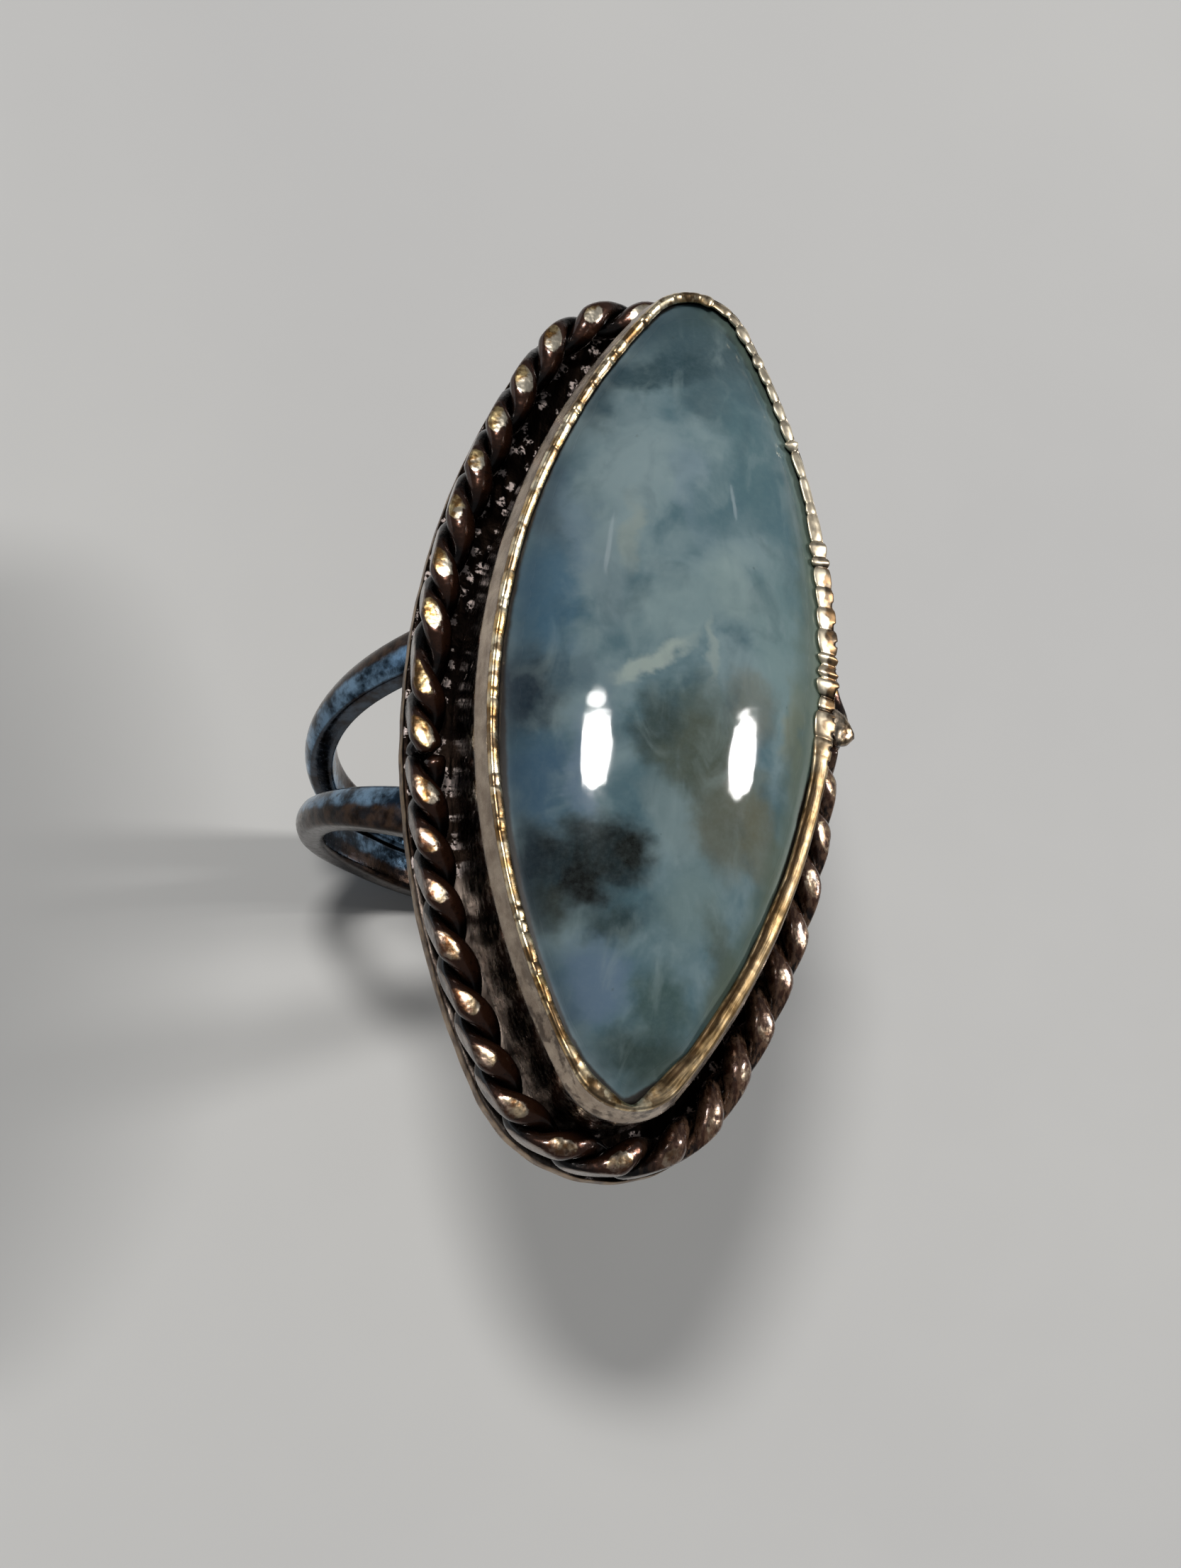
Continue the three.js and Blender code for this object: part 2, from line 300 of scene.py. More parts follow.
def make_stone():
    around = 360
    share = np.linspace(0, 1, around, endpoint=False)
    rings, margin = [], []
    for inset, z in ((0.5, 0.04), (0.2, 0.05), (0.03, 0.2), (0.0, 0.4), (0.0, 2.5)):
        q, _ = bezel_outline(share, z, STONE_INSET + inset)
        rings.append(np.column_stack([q, np.full(around, PLATE_TOP + z)]))
        margin.append(np.zeros(around))
    p = stone_line.at(np.interp(share * rim_line.perimeter, rim_line.marks, stone_line.marks))[0]
    turn = turn_by(GIRDLE[5])
    hidden = 0.14 + lip_reach(p[:, 0], p[:, 1])
    for k in 1 - (np.arange(0, 64) / 64) ** 1.25:
        q = p * k
        height = GIRDLE_Z + dome_height(q[:, 0], q[:, 1])
        rings.append(np.column_stack([q @ turn + GIRDLE[3:5], height]))
        margin.append(np.linalg.norm(p - q, axis=1) - hidden)
    grid = np.array(rings)
    # a cast of very slight unevenness left by hand polishing
    top = slice(6, None)
    x, y = grid[top, :, 0], grid[top, :, 1]
    fade = smoothstep(np.array(margin)[top], 0, 1.5)
    grid[top, :, 2] -= 0.006 * fade * (1 + waves(y + 0.35 * x, 33.0, 3, 5, 2, 7))
    # the ground edge is eased over where the bezel grips it
    grid[top, :, 2] += 0.09 * smoothstep(-np.array(margin)[top], -0.5, 0.05)
    crown = [GIRDLE[3], GIRDLE[4], GIRDLE_Z + dome_height(0.0, 0.0) - 0.006]
    verts = np.vstack([grid.reshape(-1, 3), [crown]])
    faces = stacked(len(grid), around)
    last, apex = (len(grid) - 1) * around, len(verts) - 1
    faces += [[last + q, last + (q + 1) % around, apex] for q in range(around)]
    faces.append(list(range(around - 1, -1, -1)))
    left = smoothstep(-grid[..., 0], -1.0, 1.5).ravel()
    attributes = {"margin": np.append(np.array(margin).ravel(), 5.0), "left": np.append(left, 0.5)}
    return piece("stone_cabochon", verts * MM, faces, "cabochon", attributes)


# ---- bezel strip -------------------------------------------------------------

def make_bezel():
    count = 1500
    loop = rim_line.perimeter
    s = np.linspace(0, loop, count, endpoint=False)
    x, y = bezel_outline(s / loop, BEZEL_H)[0].T
    h = RIM_Z - PLATE_TOP
    wall = refine([(0, 0.02), (-0.005, 0.8), (-0.01, 1.8), (-0.015, 2.8), (-0.02, h - 1.0)], 3)
    bevel = refine([(-0.03, h - 0.9), (-0.1, h - 0.66), (-0.18, h - 0.4), (-0.25, h - 0.14)], 3)
    rim = refine([(-0.265, h - 0.06), (-0.285, h + 0.03), (-0.34, h + 0.11), (-0.42, h + 0.145),
                  (-0.5, h + 0.12), (-0.58, h + 0.06), (-0.62, h - 0.01), (-0.56, h - 0.13),
                  (-0.45, h - 0.3)], 4)
    inner = np.array([(-0.42, h - 0.9), (-0.4, 1.2), (-0.4, 0.02)])
    profile = np.vstack([wall, bevel, rim, inner])
    off, high = profile[:, 0], profile[:, 1]
    order = np.arange(len(profile))
    first_bevel, first_rim = len(wall), len(wall) + len(bevel)
    lowest = first_rim + int(np.argmin(rim[:, 0]))
    on_bevel = smoothstep(order, first_bevel - 1.5, first_bevel + 0.5) * (order <= first_rim + 1)
    on_rim = smoothstep(order, first_rim - 1, first_rim + 6) * (order <= lowest + 3)
    shoulder = np.exp(-((order - first_rim - 4) / 4.0) ** 2)
    on_lip = smoothstep(-off, 0.36, 0.6) * (order < len(profile) - 3)

    # where on the outline: 1 inside each stretch, soft at its ends
    right = smoothstep(x, -0.4, 1.2)
    upper_right = right * smoothstep(y, -2.5, 0.5)
    lower_right = smoothstep(x, 0.3, 2.0) * smoothstep(-y, 1.0, 3.5)
    force = 0.45 + 0.4 * upper_right - 0.35 * lower_right
    force *= 0.8 + 0.35 * waves(s, loop, 71, 7, 3, 15)
    force *= 1 - 0.8 * smoothstep(-y, 11.0, 13.0)

    # the burnisher's marks: uneven blocks, some with a crease before the next
    rng = np.random.RandomState(17)
    cuts = [0.0]
    while cuts[-1] < loop - 1.2:
        cuts.append(cuts[-1] + 0.4 + 0.75 * rng.rand() ** 1.4)
    cuts.append(loop)
    cuts = np.array(cuts)
    cell = np.clip(np.searchsorted(cuts, s, side="right") - 1, 0, len(cuts) - 2)
    length = cuts[cell + 1] - cuts[cell]
    t = (s - cuts[cell]) / length
    size = rng.uniform(0.1, 1.0, len(cuts))[cell]
    lean = rng.uniform(-0.9, 0.9, len(cuts))[cell]
    depth = (rng.rand(len(cuts)) ** 1.5)[cell]
    block = size * (1 - np.abs(2 * t - 1) ** 2.6) * (1 + lean * (2 * t - 1))
    crease = depth * np.exp(-(np.minimum(t, 1 - t) * length / 0.075) ** 2)
    fine = waves(s, loop, 5, 12, 60, 170)

    lift = ((0.06 + 0.07 * upper_right) * force * (block - 0.4) - 0.045 * force * crease
            + 0.002 * fine + 0.01 * waves(s, loop, 19, 9, 20, 60))
    broad = right * smoothstep(y, -4.0, -1.0) * smoothstep(-y, -9.0, -4.0)
    push = (0.09 * force * (block - 0.35) * (0.4 + 0.6 * upper_right) - 0.04 * force * crease
            + 0.11 * broad)
    reach = lip_reach(x, y)
    reach_in = (reach + 0.02 * waves(s, loop, 8, 8, 4, 20)
                + (0.05 + 0.16 * upper_right) * force * (block - 0.4)
                - 0.05 * upper_right * crease + 0.07 * broad)
    offset = off[None] - reach_in[:, None] * on_lip[None] + push[:, None] * shoulder[None]
    # at the upper right the crown is hammered low and flat, facing a little outward
    crown = (order >= first_rim + 2) & (order <= lowest - 1)
    flat = h + 0.045 + (high - h - 0.1) * 0.45 + 0.28 * (-off - 0.44)
    sunk = np.where(crown, flat - high, 0.0)
    height = (high[None] + upper_right[:, None] * sunk[None]
              + lift[:, None] * on_rim[None] * (1 - on_bevel[None]))
    # where the lip reaches further in, it climbs with the dome
    climb = 0.75 * np.maximum(reach - 0.06, 0) * smoothstep(x, 0.5, 2.5)
    climb = climb * smoothstep(y, -13.5, -11.5)
    height = height + climb[:, None] * (on_lip * (order <= lowest + 3))[None]
    offset = offset + 0.008 * waves(s, loop, 12, 7, 5, 30)[:, None] * on_bevel[None]
    dents = 0.02 * waves(s, loop, 13, 8, 6, 40)[:, None] * np.sin(high * 1.7)[None]
    offset = offset + dents * (smoothstep(-high, -(h - 1.1), -0.3) * (off > -0.3))[None]
    # brown notches filed across the rim's outer shoulder at the right mid-side
    notched = right * smoothstep(y, -3.5, -1.5) * smoothstep(-y, -5.0, -3.0)
    comb = np.sin(2 * np.pi * s / NOTCH_PITCH + 1.3 * waves(s, loop, 23, 6, 8, 30))
    notch = smoothstep(comb, 0.25, 0.8) * notched
    offset = offset - 0.08 * notch[:, None] * shoulder[None]
    grid = np.empty((count, len(profile), 3))
    for j, z in enumerate(high):
        q, m = bezel_outline(s / loop, z)
        grid[:, j, :2] = q + m * offset[:, j:j + 1]
    grid[..., 2] = PLATE_TOP + np.minimum(height, h + 0.26)
    ones = np.ones((count, 1))
    attributes = {
        "rim": ones * on_rim,
        "bevel": ones * on_bevel,
        "lip": ones * (order > lowest),
        "crease": crease[:, None] * on_rim[None] * force[:, None] + notch[:, None] * shoulder[None],
        "drawn": lower_right[:, None] + 0 * off[None],
        "wide": -offset,
        "depth": h - high[None] + 0 * offset,
        "along": s[:, None] + 0 * off[None],
        "across": ones * np.clip((order - first_rim) / (lowest - first_rim), 0, 1),
    }
    return loft("bezel_strip", grid, "bezel_wall", loop=True, attributes=attributes)


# ---- base plate --------------------------------------------------------------

def make_plate():
    line = Outline(ROPE_L + FLUSH, ROPE_B + FLUSH, ROPE_R + FLUSH)
    around = 420
    s = np.linspace(0, line.perimeter, around, endpoint=False)
    p, n = line.at(s)
    t = PLATE_TOP - PLATE_BOTTOM
    rings = []
    inward = list(np.linspace(4.2, 0.25, 26)) + [0.12, 0.04, 0.01, 0.0]
    drop = [0] * 26 + [0.006, 0.03, 0.07, 0.13]
    for d, z in zip(inward, drop):
        rings.append((d, PLATE_TOP - z))
    for z in (0.3, 0.42, 0.5):
        rings.append((0.0, PLATE_TOP - z))
    for d, z in ((0.015, t - 0.1), (0.05, t - 0.05), (0.1, t - 0.015), (0.16, t)):
        rings.append((d, PLATE_TOP - z))
    for d in (0.6, 1.4, 2.4, 3.4, 4.2):
        rings.append((d, PLATE_BOTTOM))
    scuff = 0.02 * waves(s, line.perimeter, 21, 9, 8, 60)
    grid = []
    for d, z in rings:
        edge = math.exp(-(d / 0.15) ** 2)
        q = p - n * (d + (0.012 + scuff[:, None] * 0.6) * edge)
        level = np.full(around, z)
        if z > PLATE_BOTTOM + 0.5 and d > 0.3:
            level -= 0.012 * (1 + waves(s + 3 * d, line.perimeter, 22, 9, 10, 50))
        grid.append(np.column_stack([q, level]))
    grid = turned(np.array(grid))
    faces = stacked(len(grid), around)
    faces.append(list(range(around)))
    faces.append([(len(grid) - 1) * around + q for q in range(around - 1, -1, -1)])
    return piece("plate_base", grid.reshape(-1, 3) * MM, faces, "base_plate")


# ---- rope border -------------------------------------------------------------

rope_line = Outline(ROPE_L, ROPE_B, ROPE_R)


def lean(distance):
    """How far the far length's frayed end stands out, by distance from the right seam."""
    return FLARE * (1 - smoothstep(distance - RIGHT_SEAM, FLARE_FULL, FLARE_FADED))


class Twist:
    """How one length of rope winds: mm per turn, a place where strand a is on top, and slack."""

    def __init__(self, lay, top_at, flared, slack):
        self.lay, self.top_at, self.flared, self.slack = lay, top_at, flared, slack

    def centre(self, d, phase):
        winding = WIRE / 2 + 0.01
        turn = phase + np.pi / 2 + 2 * np.pi * (d - self.top_at) / self.lay
        turn = turn + 0.12 * waves(d, rope_line.perimeter, 31, 6, 3, 12)
        for at, wide, amount in self.slack:
            turn = turn - 2 * np.pi * amount / self.lay * np.exp(-((d - at) / wide) ** 2)
        out = lean(d) if self.flared else 0.0
        level = WIRE + ROPE_LIFT + winding * np.sin(turn)
        return np.stack([d, out + winding * np.cos(turn), level], -1)


def make_strand(name, node, twist, start, end, phase, seed):
    sides, per_turn = 24, 36
    steps = int(round(per_turn * (end - start) / twist.lay))
    d = np.linspace(start, end, steps + 1)
    period = rope_line.perimeter
    centre = twist.centre(d, phase)
    direction = twist.centre(d + 0.01, phase) - twist.centre(d - 0.01, phase)
    direction /= np.linalg.norm(direction, axis=1, keepdims=True)
    across = np.cross([0, 0, 1], direction)
    across /= np.linalg.norm(across, axis=1, keepdims=True)
    upward = np.cross(direction, across)
    angle = 2 * np.pi * (np.arange(sides) + 0.5) / sides
    # drawn and twisted by hand: the wire isn't quite round, nor quite even
    lumps = (1 + 0.02 * waves(d, period, seed, 9, 30, 90)[:, None]
             + 0.02 * np.sin(2 * angle + 0.9 * d[:, None])
             + 0.012 * np.sin(3 * angle + 2.5 * d[:, None]))
    radius = WIRE / 2 * np.minimum(lumps, 1.03)
    # each lobe was pressed and rubbed against its neighbours, so it is broad where it comes up
    rise = np.clip((centre[:, 2] - WIRE - ROPE_LIFT) / (WIRE / 2), 0, 1)
    broad = 1 + 0.34 * rise ** 1.5
    # wire ends are nipped off and rounded over
    from_end = np.clip(np.minimum(d - start, end - d) / 0.2, 0, 1)
    radius = radius * np.sqrt(np.clip(1 - (1 - from_end) ** 2, 0.04, 1))[:, None]
    sideways = (broad[:, None] * radius * np.cos(angle))[..., None]
    local = (centre[:, None] + across[:, None] * sideways
             + upward[:, None] * (radius * np.sin(angle))[..., None])
    leaning = lean(d) if twist.flared else np.zeros_like(d)
    limit = (FLUSH + 1.2 * leaning)[:, None]
    soft = 0.035
    beyond = (limit - local[..., 1]) / soft
    eased = limit - soft * np.log1p(np.exp(np.minimum(beyond, 30)))
    out = np.where(beyond < 30, eased, local[..., 1])
    p, n = rope_line.at(local[..., 0])
    # rubbed flat on top and on the shoulder that faces outward
    high = local[..., 2]
    uneven = waves(d, period, seed + 7, 12, 14, 46)[:, None]
    tilt = 0.32 * np.abs(n[..., 0]) - 0.08 * n[..., 1] + 0.13 * uneven
    keen = 0.35 + 0.4 * np.abs(n[..., 0]) ** 3
    reached = out * np.sin(tilt) + high * np.cos(tilt)
    deeper = 0.02 * waves(d, period, seed + 9, 8, 10, 40)[:, None]
    face = (WIRE + ROPE_LIFT) * np.cos(tilt) + WIRE - 0.085 + deeper
    over = np.maximum(reached - face, 0)
    out = out - keen * over * np.sin(tilt)
    high = high - keen * over * np.cos(tilt)
    rubbed = smoothstep(over, 0.0, 0.05)
    grid = np.empty(local.shape)
    grid[..., :2] = p + n * out[..., None]
    grid[..., 2] = PLATE_TOP + high
    x, y = grid[..., 0], grid[..., 1]
    attributes = {
        "lift": local[..., 2],
        "rubbed": rubbed,
        "outward": local[..., 1] - leaning[:, None],
        "filed": smoothstep(local[..., 1] - limit, -0.02, 0.06),
        "frayed": leaning[:, None] / FLARE + 0 * out,
        "shade": smoothstep(x, 0.5, 3.0) * smoothstep(-y, -1.0, 1.5),
    }
    return loft(name, turned(grid), node, attributes=attributes)


def make_rope():
    far = Twist(FAR_LAY, FAR_TOP_AT, True, ((34.9, 0.8, -0.3), (37.6, 0.9, 0.35)))
    near = Twist(NEAR_LAY, NEAR_TOP_AT, False, ())
    made = []
    for label, twist, start, end in (("back", far, RIGHT_SEAM, LEFT_SEAM),
                                     ("front", near, LEFT_SEAM, RIGHT_SEAM + rope_line.perimeter)):
        for strand, phase in (("a", 0.0), ("b", math.pi)):
            name = "rope_wire_%s_%s" % (label, strand)
            node = "rope_%s_strand_%s" % (label, strand)
            ends = start + SEAM_GAP, end - SEAM_GAP
            made.append(make_strand(name, node, twist, *ends, phase, 40 + len(made)))
    return made


# ---- shank -------------------------------------------------------------------

RAIL_TOP = PLATE_BOTTOM - 0.02


def rail_spread(angle):
    """How far each rail's middle lies from the shank's, by angle from the top."""
    start = math.degrees(math.acos(RAIL_TOP / (HOLE + RAIL_T)))
    t = np.clip((angle - start) / (RAIL_JOIN - start), 0, 1)
    return (SPREAD_BOTTOM + (SPREAD_TOP - SPREAD_BOTTOM) * (1 - t) ** 1.4) / 2


def rail_width(angle):
    narrowed = (WIDE_SIDE - WIDE_TOP) * smoothstep(angle, 30, 88)
    return WIDE_TOP + narrowed + (WIDE_BOTTOM - WIDE_SIDE) * smoothstep(angle, 88, 140)


def make_rail(name, node, side):
    crown = [(a, 1 - 0.24 * a * a) for a in np.linspace(-0.84, 0.84, 9)]
    left = refine([(-0.70, 0.0), (-0.80, 0.012), (-0.93, 0.06), (-1.0, 0.17),
                   (-1.0, 0.4), (-1.0, 0.62), (-0.955, 0.74)], 2)
    right = np.array([(-a, b) for a, b in left[::-1]])
    inside = np.array([(a, 0.0) for a in np.linspace(0.5, -0.5, 5)])
    section = np.vstack([left, crown, right, inside])
    across, out = section[:, 0], section[:, 1]
    radius = HOLE + RAIL_T * out
    level = np.degrees(np.arccos(RAIL_TOP / radius))
    fans = [level + (RAIL_FAN - level) * t for t in np.linspace(0, 1, 7)[:-1]]
    swept = [np.full(len(radius), a) for a in np.linspace(RAIL_FAN, 180, 90)]
    half = fans + swept
    rows = []
    for mirror, angles in ((-1, half), (1, half[-2::-1])):
        for a in angles:
            y = SHIFT_Y + side * rail_spread(a) + across * rail_width(a) / 2
            x, z = mirror * radius * np.sin(np.radians(a)), radius * np.cos(np.radians(a))
            rows.append(np.column_stack([x, y, z]))
    grid = np.array(rows)
    attributes = {
        "edge": np.ones((len(grid), 1)) * smoothstep(np.abs(across), 0.8, 1.0)[None],
        "back": np.ones((len(grid), 1)) * (0.5 + 0.5 * across * side)[None],
    }
    return loft(name, grid, node, attributes=attributes)


# ---- materials ---------------------------------------------------------------

class Paint:
    """A node material, with helpers that add a node and give back its output."""

    def __init__(self, name):
        self.mat = bpy.data.materials.new(name)
        self.mat.use_nodes = True
        self.tree = self.mat.node_tree
        self.shader = next(n for n in self.tree.nodes if n.type == "BSDF_PRINCIPLED")
        coords = self.tree.nodes.new("ShaderNodeTexCoord")
        scale = self.tree.nodes.new("ShaderNodeVectorMath")
        scale.operation = "SCALE"
        scale.inputs["Scale"].default_value = 1000.0
        self.tree.links.new(coords.outputs["Object"], scale.inputs[0])
        self.mm = scale.outputs[0]

    def set(self, name, value):
        self.feed(self.shader.inputs[name], value)

    def node(self, kind, **settings):
        made = self.tree.nodes.new(kind)
        for key, value in settings.items():
            setattr(made, key, value)
        return made

    def feed(self, socket, value):
        if isinstance(value, bpy.types.NodeSocket):
            self.tree.links.new(value, socket)
        else:
            socket.default_value = value

    def math(self, op, a, b=0.0):
        n = self.node("ShaderNodeMath", operation=op)
        self.feed(n.inputs[0], a)
        self.feed(n.inputs[1], b)
        return n.outputs[0]

    def times(self, a, b):
        return self.math("MULTIPLY", a, b)

    def vec(self, op, a, b):
        n = self.node("ShaderNodeVectorMath", operation=op)
        self.feed(n.inputs[0], a)
        self.feed(n.inputs[1], b)
        return n.outputs[0]

    def noise(self, scale, detail=3.0, rough=0.5, warp=0.0, at=None, color=False):
        n = self.node("ShaderNodeTexNoise")
        n.noise_dimensions = "3D"
        self.feed(n.inputs["Vector"], self.mm if at is None else at)
        n.inputs["Scale"].default_value = scale
        n.inputs["Detail"].default_value = detail
        n.inputs["Roughness"].default_value = rough
        n.inputs["Distortion"].default_value = warp
        return n.outputs["Color" if color else "Fac"]

    def voronoi(self, scale, at=None, random=1.0, flat=False):
        n = self.node("ShaderNodeTexVoronoi", feature="F1")
        n.voronoi_dimensions = "2D" if flat else "3D"
        self.feed(n.inputs["Vector"], self.mm if at is None else at)
        n.inputs["Scale"].default_value = scale
        n.inputs["Randomness"].default_value = random
        return n.outputs["Distance"]

    def stretch(self, x, y, z, turn=0.0):
        n = self.node("ShaderNodeMapping")
        self.feed(n.inputs["Vector"], self.mm)
        n.inputs["Rotation"].default_value = (0, 0, math.radians(turn))
        n.inputs["Scale"].default_value = (x, y, z)
        return n.outputs[0]

    def span(self, value, low, high, to_low=0.0, to_high=1.0):
        """A soft step: to_low where the value is at low or past it, to_high at high."""
        n = self.node("ShaderNodeMapRange", interpolation_type="SMOOTHSTEP")
        n.clamp = True
        self.feed(n.inputs["Value"], value)
        ends = ("From Min", low), ("From Max", high), ("To Min", to_low), ("To Max", to_high)
        for key, end in ends:
            n.inputs[key].default_value = end
        return n.outputs["Result"]

    def east(self, *steps):
        """A soft step along X, in millimetres."""
        return self.span(self.part(self.mm, "X"), *steps)

    def north(self, *steps):
        """A soft step along Y, in millimetres."""
        return self.span(self.part(self.mm, "Y"), *steps)

    def mix(self, factor, a, b):
        n = self.node("ShaderNodeMix", data_type="RGBA", blend_type="MIX")
        self.feed(n.inputs[0], factor)
        self.feed(n.inputs[6], a if isinstance(a, bpy.types.NodeSocket) else (*a, 1.0))
        self.feed(n.inputs[7], b if isinstance(b, bpy.types.NodeSocket) else (*b, 1.0))
        return n.outputs[2]

    def blend(self, factor, a, b):
        n = self.node("ShaderNodeMix", data_type="FLOAT")
        self.feed(n.inputs[0], factor)
        self.feed(n.inputs[2], a)
        self.feed(n.inputs[3], b)
        return n.outputs[0]

    def attribute(self, name):
        return self.node("ShaderNodeAttribute", attribute_name=name).outputs["Fac"]

    def up(self):
        """How far the surface faces up, from -1 to 1."""
        geometry = self.node("ShaderNodeNewGeometry")
        split = self.node("ShaderNodeSeparateXYZ")
        self.tree.links.new(geometry.outputs["Normal"], split.inputs[0])
        return split.outputs["Z"]

    def part(self, vector, axis):
        split = self.node("ShaderNodeSeparateXYZ")
        self.feed(split.inputs[0], vector)
        return split.outputs[axis]

    def bump(self, height, distance, strength=1.0, after=None):
        n = self.node("ShaderNodeBump")
        self.feed(n.inputs["Height"], height)
        n.inputs["Distance"].default_value = distance * MM
        self.feed(n.inputs["Strength"], strength)
        if after is not None:
            self.feed(n.inputs["Normal"], after)
        return n.outputs[0]

    def patch(self, at, x, y, wide, long, turn, soft=0.5):
        """A soft oval mask over the top of the stone, in millimetres."""
        n = self.node("ShaderNodeMapping", vector_type="TEXTURE")
        self.feed(n.inputs["Vector"], at)
        n.inputs["Location"].default_value = (x, y, 0)
        n.inputs["Rotation"].default_value = (0, 0, math.radians(turn))
        n.inputs["Scale"].default_value = (wide, long, 1)
        ball = self.node("ShaderNodeTexGradient", gradient_type="SPHERICAL")
        self.tree.links.new(n.outputs[0], ball.inputs[0])
        return self.span(ball.outputs["Fac"], 0.0, soft)


def rgb(code):
    """A linear colour from a six-digit sRGB code."""
    parts = [int(code[i:i + 2], 16) / 255 for i in (0, 2, 4)]
    return tuple(c / 12.92 if c <= 0.04045 else ((c + 0.055) / 1.055) ** 2.4 for c in parts)


# soft clouds of the stone: x, y, half width, half length, turn, strength, colour
CLOUDS = [
    (0.6, 12.6, 3.4, 2.6, 0, 0.95, "43585f"),
    (-1.4, 10.9, 3.0, 0.8, 22, 0.9, "304850"),
    (-3.0, 9.4, 0.8, 1.6, 0, 0.7, "33464c"),
    (0.9, 9.9, 1.8, 1.0, -12, 0.7, "4a6067"),
    (-1.9, 9.4, 0.9, 0.9, 12, 0.7, "71868c"),
    (2.4, 8.2, 1.6, 3.2, 10, 0.85, "527078"),
    (-2.1, 6.8, 1.6, 2.9, -12, 0.9, "8a9da1"),
    (0.1, 6.3, 0.8, 2.2, 14, 0.7, "8296a0"),
    (1.0, 5.7, 1.4, 1.2, 30, 0.75, "56727b"),
    (3.8, 4.6, 0.9, 3.6, 12, 0.6, "50707a"),
    (-4.6, 5.4, 1.0, 3.2, 14, 0.75, "4c5e6a"),
    (-3.6, 4.2, 0.7, 2.6, 10, 0.7, "768c99"),
    (-4.5, 1.6, 1.3, 2.6, 8, 0.85, "4a6c82"),
    (-2.6, 2.6, 1.0, 2.4, 4, 0.7, "829499"),
    (-1.9, 4.3, 0.5, 1.4, 4, 0.35, "a3a89a"),
    (-0.2, 1.6, 2.0, 1.5, 35, 0.7, "8a9ea0"),
    (1.8, 2.7, 1.3, 1.6, 10, 0.7, "8ea1a1"),
    (3.7, 1.2, 1.4, 4.0, 6, 0.65, "7a9293"),
    (-1.0, -0.4, 0.45, 1.7, -50, 0.8, "a9b5ae"),
    (1.0, 0.2, 0.3, 1.5, 10, 0.5, "a0aca6"),
    (-5.1, -1.6, 1.7, 1.8, 6, 1.0, "1c2833"),
    (-3.4, -0.9, 0.9, 1.0, 0, 0.6, "3c5767"),
    (-4.0, -4.7, 1.3, 2.2, 10, 0.85, "46637a"),
    (-2.9, -4.3, 0.5, 2.2, 8, 0.75, "70859a"),
    (-2.2, -2.2, 0.7, 1.8, 4, 0.6, "6a808a"),
    (1.0, -3.1, 2.0, 2.6, 16, 0.95, "50584d"),
    (-0.6, -2.3, 0.8, 1.3, 0, 0.75, "34413d"),
    (2.6, -1.3, 1.1, 1.3, 0, 0.65, "74766a"),
    (4.6, -1.8, 0.7, 2.2, 8, 0.6, "8a8a70"),
    (2.2, -5.6, 1.6, 2.0, 10, 0.85, "5f6153"),
    (3.6, -5.6, 0.9, 2.6, 22, 0.65, "686650"),
    (0.1, -5.6, 0.9, 2.4, 30, 0.8, "76898c"),
    (-2.9, -7.5, 2.2, 1.5, 10, 1.0, "080b07"),
    (-1.7, -6.9, 1.6, 1.2, -20, 1.0, "0f1410"),
    (-4.0, -7.8, 1.3, 1.8, 15, 0.9, "161d20"),
    (-3.4, -8.9, 0.9, 1.2, 20, 0.7, "33382f"),
    (-1.3, -9.0, 1.4, 0.8, 8, 0.85, "243638"),
    (1.3, -8.4, 1.7, 1.5, 30, 0.9, "728789"),
    (-1.6, -11.0, 1.3, 1.7, 14, 1.0, "667c90"),
    (0.6, -11.4, 1.0, 1.6, 10, 0.85, "3c5350"),
    (2.6, -10.4, 0.7, 2.4, 18, 0.7, "4d5546"),
    (0.4, -13.3, 2.2, 1.2, 0, 0.9, "33423d"),
]


